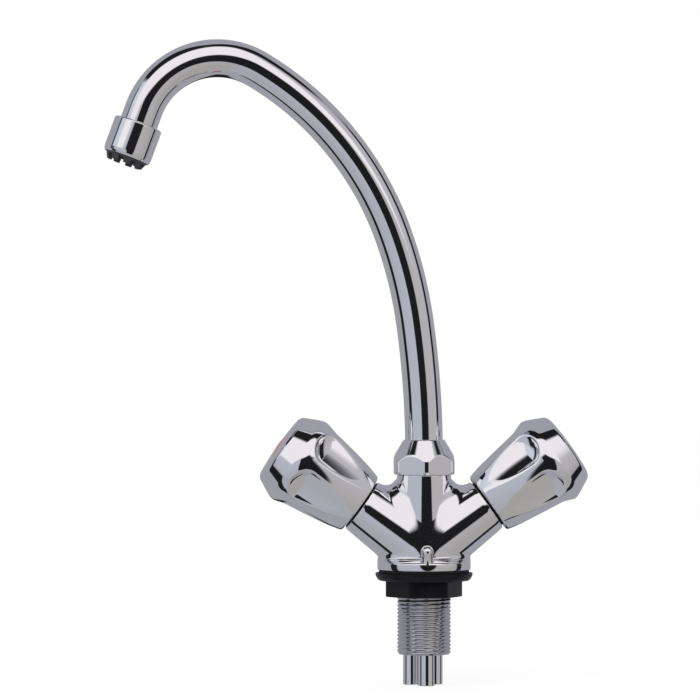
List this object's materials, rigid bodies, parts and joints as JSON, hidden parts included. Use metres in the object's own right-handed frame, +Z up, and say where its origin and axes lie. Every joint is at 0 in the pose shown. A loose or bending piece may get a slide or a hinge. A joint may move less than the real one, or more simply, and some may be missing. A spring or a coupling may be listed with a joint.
{
  "type": "two handle kitchen faucet",
  "caption": "Single-hole two handle kitchen faucet with a tall swan-neck swivel spout, angled arms with scooped handles, a threaded shank and small plain supply tails.",
  "frame": {"origin": "centre of the body's underside, on the tap hole's axis, where it rests on the sink deck", "axes": "+Z up along the shank and neck; +X towards the cold handle; -Y towards the user; the spout stands 6 degrees forward of -X"},
  "size_m": [0.2333, 0.0502, 0.3104],
  "materials": {
    "chrome": "polished chrome plate",
    "brass": "turned",
    "black_rubber": "moulded",
    "black_plastic": "moulded, slight sheen",
    "grey_plastic": "moulded",
    "nylon": "moulded",
    "steel": "plain",
    "steel_mesh": "woven wire",
    "red_index": "glossy",
    "blue_index": "glossy"
  },
  "bodies": {
    "faucet": {"back_nut": "black_plastic", "base_gasket": "black_rubber", "body": "chrome", "chain_stay": "chrome", "cold_headwork": "brass", "cold_headwork_gasket": "black_rubber", "flange_washer": "black_plastic", "heater_feed_tail": "chrome", "heater_return_tail": "chrome", "hot_headwork": "brass", "hot_headwork_gasket": "black_rubber", "mains_inlet_tail": "chrome", "spout_nut": "chrome", "spout_slip_ring": "nylon", "tail_o_rings": "black_rubber", "threaded_shank": "chrome"},
    "spout": {"spout_tube": "chrome", "spout_foot": "brass", "spout_o_rings": "black_rubber", "aerator_housing": "chrome", "aerator_gasket": "black_rubber", "aerator_insert": "grey_plastic", "aerator_screen": "steel_mesh"},
    "cold_handle_set": {"cold_handle": "chrome", "cold_spindle": "brass", "cold_spindle_o_ring": "black_rubber", "cold_spindle_circlip": "steel", "cold_spline_adaptor": "nylon", "cold_handle_screw": "steel", "cold_index_disc": "blue_index"},
    "cold_valve": {"cold_jumper": "brass", "cold_seat_washer": "black_rubber", "cold_washer_screw": "steel"},
    "hot_handle_set": {"hot_handle": "chrome", "hot_spindle": "brass", "hot_spindle_o_ring": "black_rubber", "hot_spindle_circlip": "steel", "hot_spline_adaptor": "nylon", "hot_handle_screw": "steel", "hot_index_disc": "red_index"},
    "hot_valve": {"hot_jumper": "brass", "hot_seat_washer": "black_rubber", "hot_washer_screw": "steel"}
  },
  "joints": [
    {"name": "spout_swivel", "type": "hinge", "parent": "faucet", "child": "spout", "pos_m": [0, 0, 0.0498], "axis": [0, 0, 1], "continuous": true},
    {"name": "cold_handle_turn", "type": "hinge", "parent": "faucet", "child": "cold_handle_set", "pos_m": [0, 0, 0.0096], "axis": [0.8141, 0, 0.5807], "range_deg": [0, 900]},
    {"name": "cold_valve_lift", "type": "slide", "parent": "faucet", "child": "cold_valve", "axis": [0.8141, 0, 0.5807], "range_m": [0, 0.00376]},
    {"name": "hot_handle_turn", "type": "hinge", "parent": "faucet", "child": "hot_handle_set", "pos_m": [0, 0, 0.0096], "axis": [-0.8141, 0, 0.5807], "range_deg": [0, 900]},
    {"name": "hot_valve_lift", "type": "slide", "parent": "faucet", "child": "hot_valve", "axis": [-0.8141, 0, 0.5807], "range_m": [0, 0.00376]}
  ],
  "couplings": [
    {"joint": "cold_valve_lift", "follows": "cold_handle_turn", "m_per_rad": 0.00023873},
    {"joint": "hot_valve_lift", "follows": "hot_handle_turn", "m_per_rad": 0.00023873}
  ]
}
